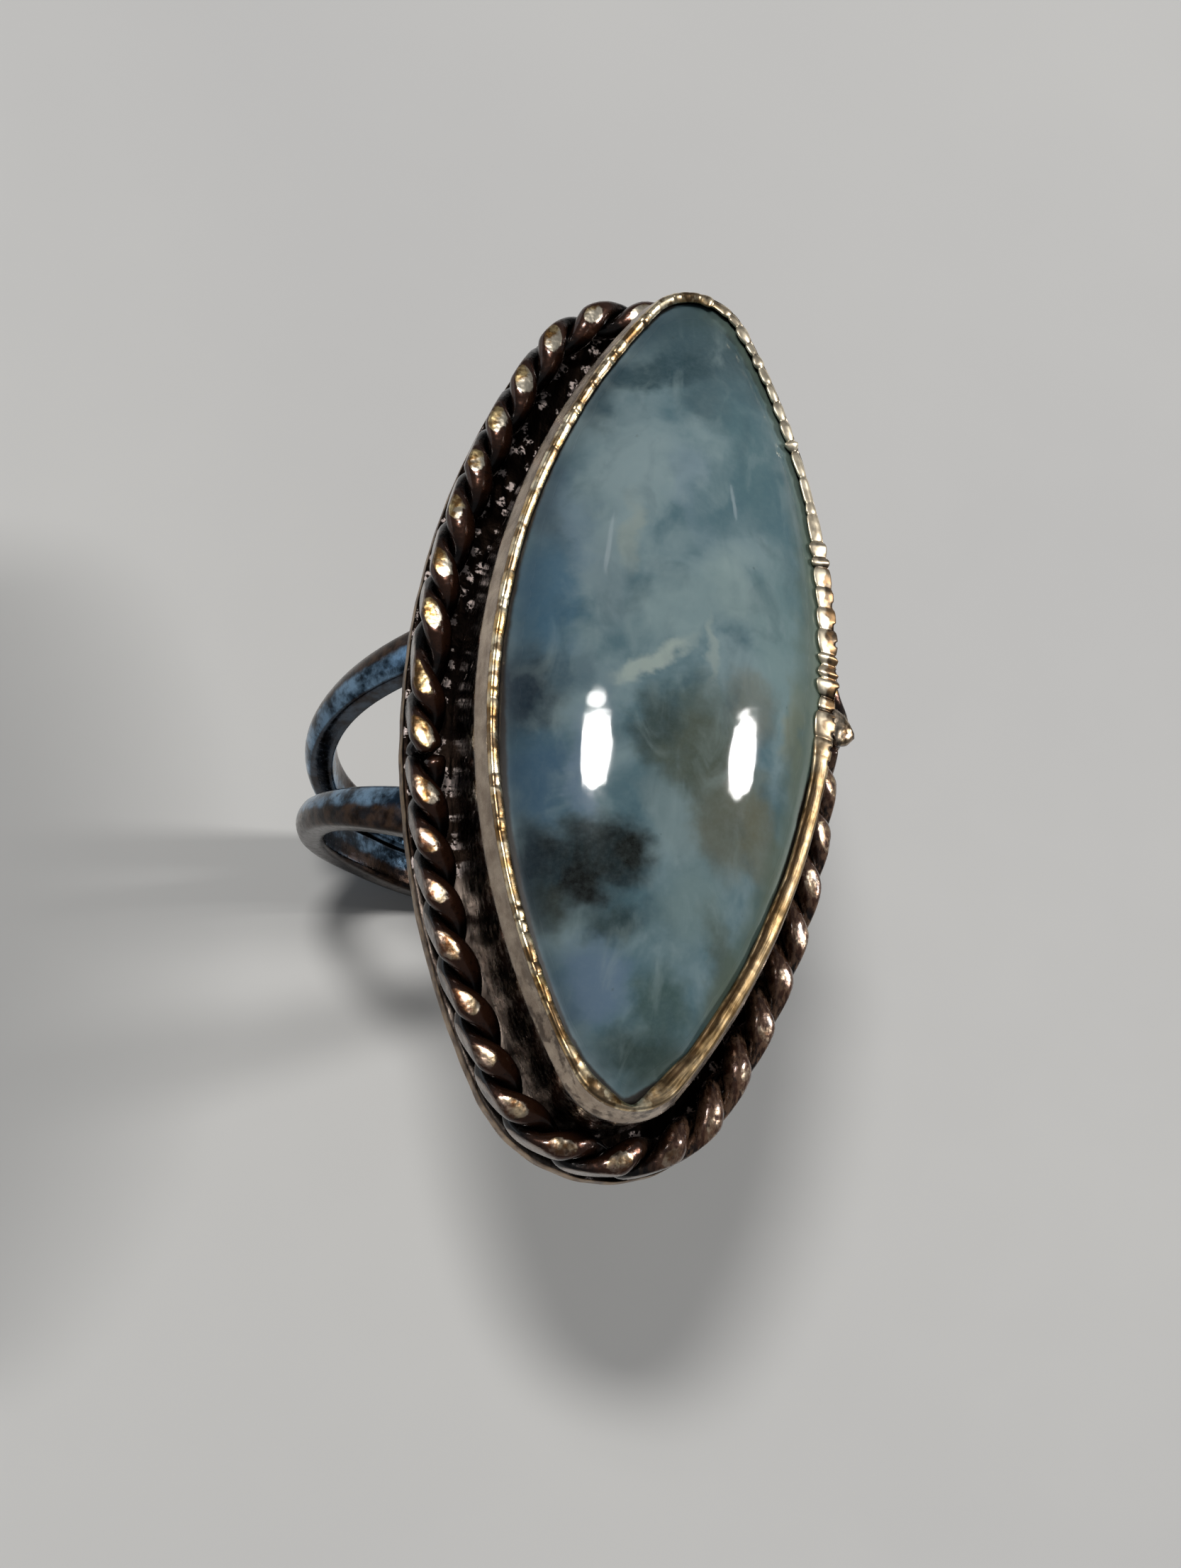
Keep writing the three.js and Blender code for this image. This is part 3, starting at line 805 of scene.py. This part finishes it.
def stone_paint():
    m = Paint("cloudy_stone")
    flat = m.vec("MULTIPLY", m.mm, (1.0, 1.0, 0.35))
    swirl = m.vec("SUBTRACT", m.noise(0.36, 2.0, 0.5, at=flat, color=True), (0.5, 0.5, 0.5))
    ripple = m.vec("SUBTRACT", m.noise(1.3, 3.0, 0.55, at=flat, color=True), (0.5, 0.5, 0.5))
    warped = m.vec("MULTIPLY", m.mm, (1, 1, 0))
    warped = m.vec("ADD", warped, m.vec("MULTIPLY", swirl, (1.6, 1.6, 0)))
    warped = m.vec("ADD", warped, m.vec("MULTIPLY", ripple, (1.1, 1.1, 0)))
    cloud = m.noise(0.5, 4.0, 0.5, 0.3, at=flat)
    colour = m.mix(m.span(cloud, 0.35, 0.65), rgb("54707a"), rgb("7f9499"))
    for x, y, wide, long, turn, strength, code in CLOUDS:
        mask = m.patch(warped, x, y, wide * 1.2, long * 1.2, turn, 0.7)
        colour = m.mix(m.times(mask, strength), colour, rgb(code))
    veil = m.span(m.noise(0.8, 4.0, 0.5, 0.8, at=m.stretch(1.2, 0.6, 0.5, 18)), 0.48, 0.75)
    solid = m.patch(warped, -2.4, -7.3, 3.0, 2.0, 8, 0.7)
    veil = m.times(veil, m.blend(solid, 0.3, 0.04))
    colour = m.mix(veil, colour, rgb("97a9aa"))
    murk = m.span(m.noise(0.7, 4.0, 0.5, 0.6, at=m.stretch(1.0, 0.7, 0.5, -24)), 0.5, 0.75)
    colour = m.mix(m.times(murk, 0.35), colour, rgb("36505a"))
    grain = m.noise(5.0, 4.0, 0.7)
    colour = m.mix(m.span(grain, 0.35, 0.75, 0.0, 0.07), colour, rgb("93a5a6"))
    # specks of dark mineral
    scattered = m.vec("ADD", m.mm, m.vec("MULTIPLY", ripple, (0.5, 0.5, 0.5)))
    specks = m.span(m.voronoi(0.7, at=scattered), 0.06, 0.0)
    colour = m.mix(m.times(specks, 0.35), colour, rgb("39443f"))
    # painted shade: the stone is painted darker towards its edge, less at the lit upper right;
    # where it meets the bezel a dark line is partly setting dirt, partly painted shade of the rim
    margin = m.attribute("margin")
    wander = m.math("SUBTRACT", m.noise(1.4, 4.0, 0.6), 0.5)
    painted_edge_shade = m.span(m.math("ADD", margin, m.times(wander, 0.8)), 1.8, 0.2)
    clear = m.times(m.east(0.0, 2.0), m.north(-4.0, 0.0))
    left, low = m.attribute("left"), m.north(0.0, -4.0)
    depth = m.mix(left, rgb("35453d"), rgb("2f4655"))
    colour = m.mix(m.times(painted_edge_shade, m.blend(clear, 0.42, 0.2)), colour, depth)
    # painted light: at the lit upper right the stone is painted lighter next to the rim
    colour = m.mix(m.times(clear, m.span(margin, 0.7, 0.0, 0.0, 0.7)), colour, rgb("6f7f70"))
    dirt_and_shade = m.math("MAXIMUM", left, low)
    green = m.times(m.east(1.5, 3.0), m.north(9.0, 5.0))
    green = m.times(green, m.span(m.math("ADD", margin, wander), 1.7, 0.3, 0.0, 0.65))
    colour = m.mix(green, colour, rgb("5c6b5d"))
    line = m.math("SUBTRACT", margin, m.blend(dirt_and_shade, -0.3, 0.1))
    line = m.math("SUBTRACT", line, m.times(m.times(left, low), 0.13))
    ragged = m.math("ADD", line, m.times(wander, 0.16))
    # a dark line where the stone meets the rim, partly setting dirt and partly painted shade, wider
    # at the left and low
    colour = m.mix(m.times(m.span(ragged, 0.15, 0.02), 0.95), colour, rgb("1c120a"))
    m.set("Base Color", colour)
    haze = m.span(margin, 1.4, 0.2, 0.0, 0.3)
    m.set("Roughness", m.math("ADD", m.span(m.noise(0.8, 3.0), 0.3, 0.7, 0.04, 0.09), haze))
    m.set("Subsurface Weight", 0.6)
    m.set("Subsurface Radius", (1.0, 1.0, 1.0))
    m.set("Subsurface Scale", 0.4 * MM)
    m.set("IOR", 1.5)
    m.set("Coat Weight", m.span(margin, 0.6, 1.8, 0.0, 0.5))
    m.set("Coat Roughness", 0.02)
    m.set("Normal", m.bump(m.noise(0.9, 2.0), 0.012, 0.6))
    return m.mat


def bezel_paint():
    m = Paint("burnished_gold")
    rim, bevel, lip, crease = (m.attribute(k) for k in ("rim", "bevel", "lip", "crease"))
    drawn = m.attribute("drawn")
    # rim: gold, blotched where polish and dirt alternate
    tone = m.noise(1.1, 4.0, 0.6)
    gold = m.mix(m.span(tone, 0.35, 0.65), rgb("c09c66"), rgb("f6e8c8"))
    along = m.node("ShaderNodeCombineXYZ")
    m.feed(along.inputs[0], m.attribute("along"))
    m.feed(along.inputs[1], m.attribute("wide"))
    patch = m.noise(1.5, 3.0, 0.55, at=along.outputs[0])
    blotch = m.span(patch, 0.46, 0.56)
    # painted highlight: the rim at the lit upper right is painted near white
    pale = m.times(m.east(0.0, 2.0), m.north(-3.0, 0.0))
    gold = m.mix(m.times(pale, 0.8), gold, rgb("fff3da"))
    coarse = m.vec("MULTIPLY", along.outputs[0], (1.0, 0.4, 1.0))
    ragged = m.math("SUBTRACT", m.noise(1.6, 2.0, at=coarse), 0.5)
    across = m.attribute("across")
    # painted shade: at the right mid-side the rim's outer shoulder is painted brown, as it turns
    # from the light
    outer = m.span(m.math("ADD", across, m.times(ragged, 0.9)), 0.64, 0.54)
    outer = m.times(m.times(pale, outer), m.north(7.5, 4.0))
    shade_brown = m.mix(m.span(m.noise(2.6, 2.0), 0.42, 0.58), rgb("3e2813"), rgb("8f6a40"))
    blotch = m.times(blotch, m.blend(pale, m.blend(drawn, 0.85, 0.35), 0.2))
    gold = m.mix(blotch, gold, rgb("6a4b28"))
    gold = m.mix(m.times(outer, 0.9), gold, shade_brown)
    streaks = m.noise(4.0, 3.0, 0.6, at=m.vec("MULTIPLY", along.outputs[0], (0.22, 3.0, 1.0)))
    wear_and_shade = m.mix(m.span(streaks, 0.38, 0.62), rgb("4e3a20"), rgb("a58b64"))
    gold = m.mix(m.times(drawn, 0.85), gold, wear_and_shade)
    groove = m.math("ADD", across, m.times(m.math("SUBTRACT", tone, 0.5), 0.25))
    groove = m.times(m.span(groove, 0.58, 0.66), m.span(groove, 0.86, 0.8))
    gold = m.mix(m.times(drawn, m.times(groove, 0.85)), gold, rgb("2c1c0e"))
    # bevel below it: a smooth pale strip
    strip = m.mix(m.span(m.noise(1.2, 4.0, 0.6), 0.3, 0.7), rgb("988675"), rgb("c4b3a0"))
    streak = m.span(m.noise(5.0, 3.0, 0.6, at=m.stretch(1.0, 0.12, 1.0)), 0.55, 0.75)
    strip = m.mix(m.times(streak, 0.35), strip, rgb("6d5a48"))
    south = m.north(-9.0, -12.5)
    stain = m.span(m.noise(1.5, 4.0, 0.6, at=m.vec("ADD", m.mm, (3.1, 0.0, 0.0))), 0.47, 0.6)
    strip = m.mix(m.times(south, m.times(stain, 0.8)), strip, rgb("45372d"))
    # wall: black with worn brown
    black = m.mix(m.span(m.noise(2.0, 6.0, 0.68), 0.52, 0.75), rgb("120c09"), rgb("3c2f27"))
    low_left = m.north(-6.0, -10.0)
    tan = m.mix(m.span(m.noise(1.6, 5.0, 0.6), 0.35, 0.65), rgb("4b3a2e"), rgb("8d7359"))
    black = m.mix(m.times(low_left, 0.3), black, tan)
    below = m.node("ShaderNodeCombineXYZ")
    m.feed(below.inputs[0], m.attribute("along"))
    m.feed(below.inputs[1], m.attribute("depth"))
    tall = m.vec("MULTIPLY", below.outputs[0], (1.0, 0.35, 1.0))
    glint = m.span(m.noise(2.6, 3.0, 0.65, at=tall), 0.645, 0.69)
    glint = m.times(glint, m.north(-6.5, -5.5))
    glint = m.times(glint, m.east(0.5, -1.0))
    glint = m.times(glint, m.math("SUBTRACT", 1.0, m.math("MAXIMUM", bevel, rim)))
    black = m.mix(glint, black, rgb("cfbcb2"))
    colour = m.mix(bevel, black, strip)
    colour = m.mix(m.span(rim, 0.25, 0.7), colour, gold)
    colour = m.mix(m.times(m.span(crease, 0.12, 0.6), 0.85), colour, rgb("23140a"))
    # dark patina and painted shade under the lip, except at the upper right
    inner = m.blend(m.times(m.east(0.5, 2.0), m.north(-2.0, 1.0)), 0.95, 0.1)
    colour = m.mix(m.times(lip, inner), colour, rgb("170e08"))
    m.set("Base Color", colour)
    m.set("Metallic", m.math("SUBTRACT", 1.0, m.times(glint, 0.8)))
    wall_rough = m.blend(bevel, m.span(m.noise(3.0, 4.0), 0.35, 0.7, 0.08, 0.3), 0.26)
    rim_rough = m.blend(pale, m.blend(drawn, 0.27, 0.38), 0.34)
    rough = m.blend(m.span(rim, 0.2, 0.7), wall_rough, rim_rough)
    m.set("Roughness", m.math("ADD", rough, m.span(m.noise(6.0, 4.0), 0.4, 0.8, 0.0, 0.12)))
    hammer = m.bump(m.noise(1.7, 1.0, 0.4), 0.05, 0.45)
    brushed = m.bump(streaks, 0.012, m.times(drawn, 0.6), after=hammer)
    m.set("Normal", brushed)
    m.set("Coat Weight", 0.1)
    m.set("Coat Roughness", 0.2)
    return m.mat


def plate_paint():
    m = Paint("blackened_plate")
    # painted reflection: at the lower left the plate's top is painted a lighter grey-brown, as if
    # mirroring its surroundings; dark elsewhere
    low_left = m.times(m.north(-6.4, -7.0), m.east(1.0, -1.5))
    sweep = m.noise(0.9, 5.0, 0.6, 0.8, at=m.stretch(1.8, 0.45, 1.0, 10))
    dark = m.mix(m.span(sweep, 0.4, 0.75), rgb("0a0706"), rgb("2a201a"))
    painted_reflection = m.mix(m.span(sweep, 0.34, 0.62), rgb("2a221e"), rgb("756a62"))
    colour = m.mix(low_left, dark, painted_reflection)
    up = m.up()
    edge = m.span(m.math("ABSOLUTE", up), 0.75, 0.2)
    tan = m.mix(m.span(m.noise(2.0, 4.0), 0.35, 0.65), rgb("5e4a3a"), rgb("a58c70"))
    colour = m.mix(m.times(edge, 0.9), colour, tan)
    under = m.span(up, -0.7, -0.95)
    brush = m.span(m.noise(9.0, 4.0, 0.6, at=m.stretch(1.0, 0.06, 1.0, 4)), 0.3, 0.7)
    brushed = m.mix(brush, rgb("7d6b55"), rgb("ab9677"))
    colour = m.mix(under, colour, brushed)
    # painted glints: pale specks in the blackened channel, standing in for the rope's glints
    # mirrored in the plate
    shift = m.vec("SUBTRACT", m.noise(5.0, 2.0, color=True), (0.5, 0.5, 0.5))
    shift = m.vec("MULTIPLY", shift, (0.4, 0.4, 0))
    painted_glints = m.span(m.voronoi(1.5, at=m.vec("ADD", m.mm, shift), random=0.95, flat=True), 0.32, 0.2)
    painted_glints = m.times(painted_glints, m.span(m.noise(4.5, 4.0, 0.65), 0.44, 0.55))
    painted_glints = m.times(painted_glints, m.times(m.span(up, 0.6, 0.9), m.math("SUBTRACT", 1.0, low_left)))
    colour = m.mix(painted_glints, colour, rgb("e6d3cc"))
    m.set("Base Color", colour)
    m.set("Metallic", m.math("SUBTRACT", 1.0, painted_glints))
    m.set("Roughness", m.span(m.noise(1.7, 4.0), 0.3, 0.7, 0.28, 0.45))
    dents = m.bump(m.noise(1.1, 3.0, 0.5), 0.14, 0.5)
    m.set("Normal", m.bump(m.noise(9.0, 5.0, 0.65), 0.02, 0.6, after=dents))
    return m.mat


def rope_paint():
    m = Paint("blackened_rope")
    lift, outward, filed = m.attribute("lift"), m.attribute("outward"), m.attribute("filed")
    frayed, shade, rubbed = m.attribute("frayed"), m.attribute("shade"), m.attribute("rubbed")
    scatter = m.math("SUBTRACT", m.noise(2.2, 5.0, 0.62), 0.5)
    rub = m.span(m.math("ADD", rubbed, m.times(scatter, 1.3)), 0.2, 0.6)
    rub = m.times(rub, m.span(lift, 0.9, 1.15))
    # gold shows on the rubbed face of each lobe; on the shaded side only as streaks
    streaks = m.span(m.noise(2.4, 4.0, 0.6, at=m.stretch(1.6, 1.0, 1.0, 25)), 0.42, 0.58)
    rub = m.times(rub, m.blend(shade, 1.0, m.times(streaks, 0.9)))
    tone = m.noise(1.7, 4.0, 0.6)
    gold = m.mix(m.span(tone, 0.42, 0.58), rgb("96703f"), rgb("f0d49c"))
    # painted highlight and painted shade along each lobe: near white at its inner end, brown at its
    # outer end
    slide = m.math("ADD", outward, m.times(scatter, 0.9))
    north = m.north(-1.0, 5.0, 0.0, 0.22)
    slide = m.math("SUBTRACT", slide, north)
    painted_highlight = m.span(slide, 0.08, -0.12)
    shade_brown = m.mix(m.north(-1.0, -6.0), rgb("6e5230"), rgb("6b3f26"))
    gold = m.mix(m.span(slide, 0.14, 0.44), gold, shade_brown)
    gold = m.mix(painted_highlight, gold, rgb("fff3dc"))
    tone = m.span(tone, 0.4, 0.6)
    gold = m.mix(m.times(shade, 0.75), gold, m.mix(tone, rgb("8f7862"), rgb("d0b999")))
    south = m.north(-1.0, -7.0)
    gold = m.mix(m.times(south, 0.5), gold, m.mix(tone, rgb("7a5640"), rgb("e0cbb8")))
    red = m.span(m.noise(3.1, 4.0, 0.6), 0.55, 0.7)
    gold = m.mix(m.times(red, m.blend(painted_highlight, 0.4, 0.05)), gold, rgb("8a5434"))
    patina = m.mix(m.span(m.noise(3.5, 5.0, 0.65), 0.52, 0.75), rgb("080403"), rgb("2c1a12"))
    rust = m.span(m.math("ADD", lift, m.times(scatter, 0.5)), 1.0, 1.4)
    patina = m.mix(m.times(rust, 0.6), patina, rgb("5c3826"))
    stripe = m.span(m.noise(3.2, 3.0, 0.6, at=m.stretch(2.2, 0.7, 1.0, 35)), 0.42, 0.6)
    patina = m.mix(m.times(shade, m.times(stripe, 0.8)), patina, rgb("7d604c"))
    colour = m.mix(rub, patina, gold)
    blots = m.span(m.noise(5.0, 3.0, 0.6), 0.57, 0.66)
    colour = m.mix(m.times(blots, 0.6), colour, rgb("1a0e09"))
    fray = m.span(m.noise(2.4, 4.0, 0.6, at=m.stretch(2.0, 0.9, 1.0, 35)), 0.42, 0.6)
    fray = m.mix(fray, rgb("2c2019"), rgb("a8947e"))
    colour = m.mix(m.times(m.span(frayed, 0.3, 0.9), 0.8), colour, fray)
    side = m.mix(m.span(m.noise(2.0, 4.0), 0.35, 0.65), rgb("4c3c32"), rgb("97867a"))
    colour = m.mix(m.times(m.span(filed, 0.2, 0.8), 0.85), colour, side)
    m.set("Base Color", colour)
    m.set("Metallic", m.blend(shade, m.blend(rub, 0.7, 1.0), m.blend(rub, 0.4, 0.9)))
    rough = m.blend(rub, 0.26, 0.3)
    m.set("Roughness", m.math("ADD", rough, m.span(m.noise(5.0, 4.0), 0.45, 0.8, 0.0, 0.1)))
    m.set("Coat Weight", 0.7)
    m.set("Coat Roughness", 0.12)
    dents = m.bump(m.noise(1.6, 2.0, 0.5), 0.14, 0.6)
    m.set("Normal", m.bump(m.noise(5.0, 2.0, 0.5), 0.02, 0.5, after=dents))
    return m.mat


def shank_paint():
    m = Paint("polished_shank")
    edge, back = m.attribute("edge"), m.attribute("back")
    # painted reflection: the rails are painted steel blue with near-black smears, as if mirroring
    # sky and a dark room
    drift = m.noise(0.9, 4.0, 0.6)
    colour = m.mix(m.span(drift, 0.38, 0.62), rgb("182633"), rgb("7d9cb8"))
    smear = m.span(m.noise(1.6, 6.0, 0.66), 0.5, 0.72)
    colour = m.mix(m.times(smear, 0.75), colour, rgb("15191e"))
    # painted shade: the rails' back side is painted dark brown
    wear_and_shade = m.math("ADD", back, m.times(m.math("SUBTRACT", m.noise(1.6, 4.0), 0.5), 0.25))
    brown = m.mix(m.span(m.noise(2.0, 5.0, 0.6), 0.35, 0.65), rgb("1d130d"), rgb("4c392c"))
    colour = m.mix(m.times(m.span(wear_and_shade, 0.42, 0.58), 0.95), colour, brown)
    # painted shade: the rails' edges are painted dark
    colour = m.mix(m.times(m.span(edge, 0.4, 0.9), 0.8), colour, rgb("2b211b"))
    m.set("Base Color", colour)
    m.set("Metallic", 1.0)
    m.set("Roughness", m.span(m.noise(5.0, 4.0), 0.35, 0.75, 0.14, 0.3))
    fine = m.noise(22.0, 3.0, 0.6, at=m.stretch(1.0, 0.1, 1.0))
    m.set("Normal", m.bump(fine, 0.006, 0.6, after=m.bump(m.noise(1.4, 3.0), 0.05, 0.4)))
    return m.mat


def floor_paint():
    m = Paint("pale_floor")
    soft = m.noise(0.02, 3.0)
    m.set("Base Color", m.mix(m.span(soft, 0.3, 0.7), rgb("c9c9c9"), rgb("cfcfce")))
    m.set("Roughness", m.span(m.noise(0.3, 2.0), 0.3, 0.7, 0.75, 0.85))
    return m.mat


# ---- assembly ----------------------------------------------------------------

def dress(obj, material):
    obj.data.materials.clear()
    obj.data.materials.append(material)


dress(make_stone(), stone_paint())
dress(make_bezel(), bezel_paint())
dress(make_plate(), plate_paint())
rope_material = rope_paint()
for strand in make_rope():
    dress(strand, rope_material)
shank_material = shank_paint()
dress(make_rail("shank_bar_front", "shank_rail_front", -1), shank_material)
dress(make_rail("shank_bar_back", "shank_rail_back", 1), shank_material)


# ---- floor, light, camera ----------------------------------------------------

WHITE, PALE = (1, 1, 1), (1.0, 0.98, 0.95)
AIM = Vector((0, -0.003, 0.015))


def make_floor():
    size, z = 3.0, cad_low.z
    mesh = bpy.data.meshes.new("floor")
    corners = [(-size, -size, z), (size, -size, z), (size, size, z), (-size, size, z)]
    mesh.from_pydata(corners, [], [(0, 1, 2, 3)])
    floor = bpy.data.objects.new("floor", mesh)
    bpy.context.scene.collection.objects.link(floor)
    dress(floor, floor_paint())


def soft_box(name, direction, across, distance, wide, tall, power, colour=WHITE, shape="ELLIPSE"):
    """A soft light whose wide side lies along a given direction, aimed at the top of the stone."""
    light = bpy.data.lights.new(name, "AREA")
    light.shape = shape
    light.size, light.size_y = wide, tall
    light.energy = power
    light.color = colour
    obj = bpy.data.objects.new(name, light)
    back = Vector(direction).normalized()
    wide_axis = Vector(across)
    wide_axis = (wide_axis - back * wide_axis.dot(back)).normalized()
    tall_axis = back.cross(wide_axis)
    turn = Matrix((wide_axis, tall_axis, back)).transposed()
    obj.location = AIM + back * distance
    obj.rotation_euler = turn.to_euler()
    bpy.context.scene.collection.objects.link(obj)


make_floor()
LEFT_ACROSS, RIGHT_ACROSS = (0.228, 0.009, 0.082), (0.150, 0.016, -0.204)
soft_box("window_left", (-0.342, 0.211, 0.915), LEFT_ACROSS, 0.6, 0.146, 0.092, 1.2, PALE)
soft_box("window_left_core", (-0.342, 0.213, 0.914), LEFT_ACROSS,
         0.59, 0.118, 0.079, 0.5, PALE, "RECTANGLE")
soft_box("window_right", (0.757, 0.252, 0.603), RIGHT_ACROSS, 0.6, 0.150, 0.086, 1.2, PALE)
soft_box("window_right_core", (0.757, 0.253, 0.602), RIGHT_ACROSS,
         0.59, 0.118, 0.071, 0.5, PALE, "RECTANGLE")
soft_box("pane_left", (-0.350, 0.312, 0.884), LEFT_ACROSS, 0.6, 0.086, 0.024, 0.09, PALE)
soft_box("slit_left", (-0.329, 0.601, 0.729), LEFT_ACROSS, 0.6, 0.020, 0.070, 0.004)
soft_box("slit_right", (0.544, 0.645, 0.537), RIGHT_ACROSS, 0.6, 0.020, 0.050, 0.004)
soft_box("fill_left", (-0.93, 0.36, 0.12), (0, 0, 1), 0.7, 0.3, 1.0, 0.5, (0.8, 0.9, 1.0))

world = bpy.data.worlds.new("studio")
bpy.context.scene.world = world
world.use_nodes = True
backdrop = world.node_tree.nodes["Background"]
backdrop.inputs["Color"].default_value = (0.93, 0.96, 1.0, 1.0)
backdrop.inputs["Strength"].default_value = 0.12

camera = bpy.data.objects.new("camera", bpy.data.cameras.new("camera"))
camera.data.lens = 58.59
camera.data.sensor_width = 36.0
camera.data.clip_start, camera.data.clip_end = 0.005, 20.0
camera.location = Vector((-22.614, -33.240, 89.257)) * MM
camera.rotation_euler = Euler([math.radians(a) for a in (18.969, -16.705, 4.689)], "XYZ")
bpy.context.scene.collection.objects.link(camera)
bpy.context.scene.camera = camera
bpy.context.scene.view_settings.view_transform = "Standard"
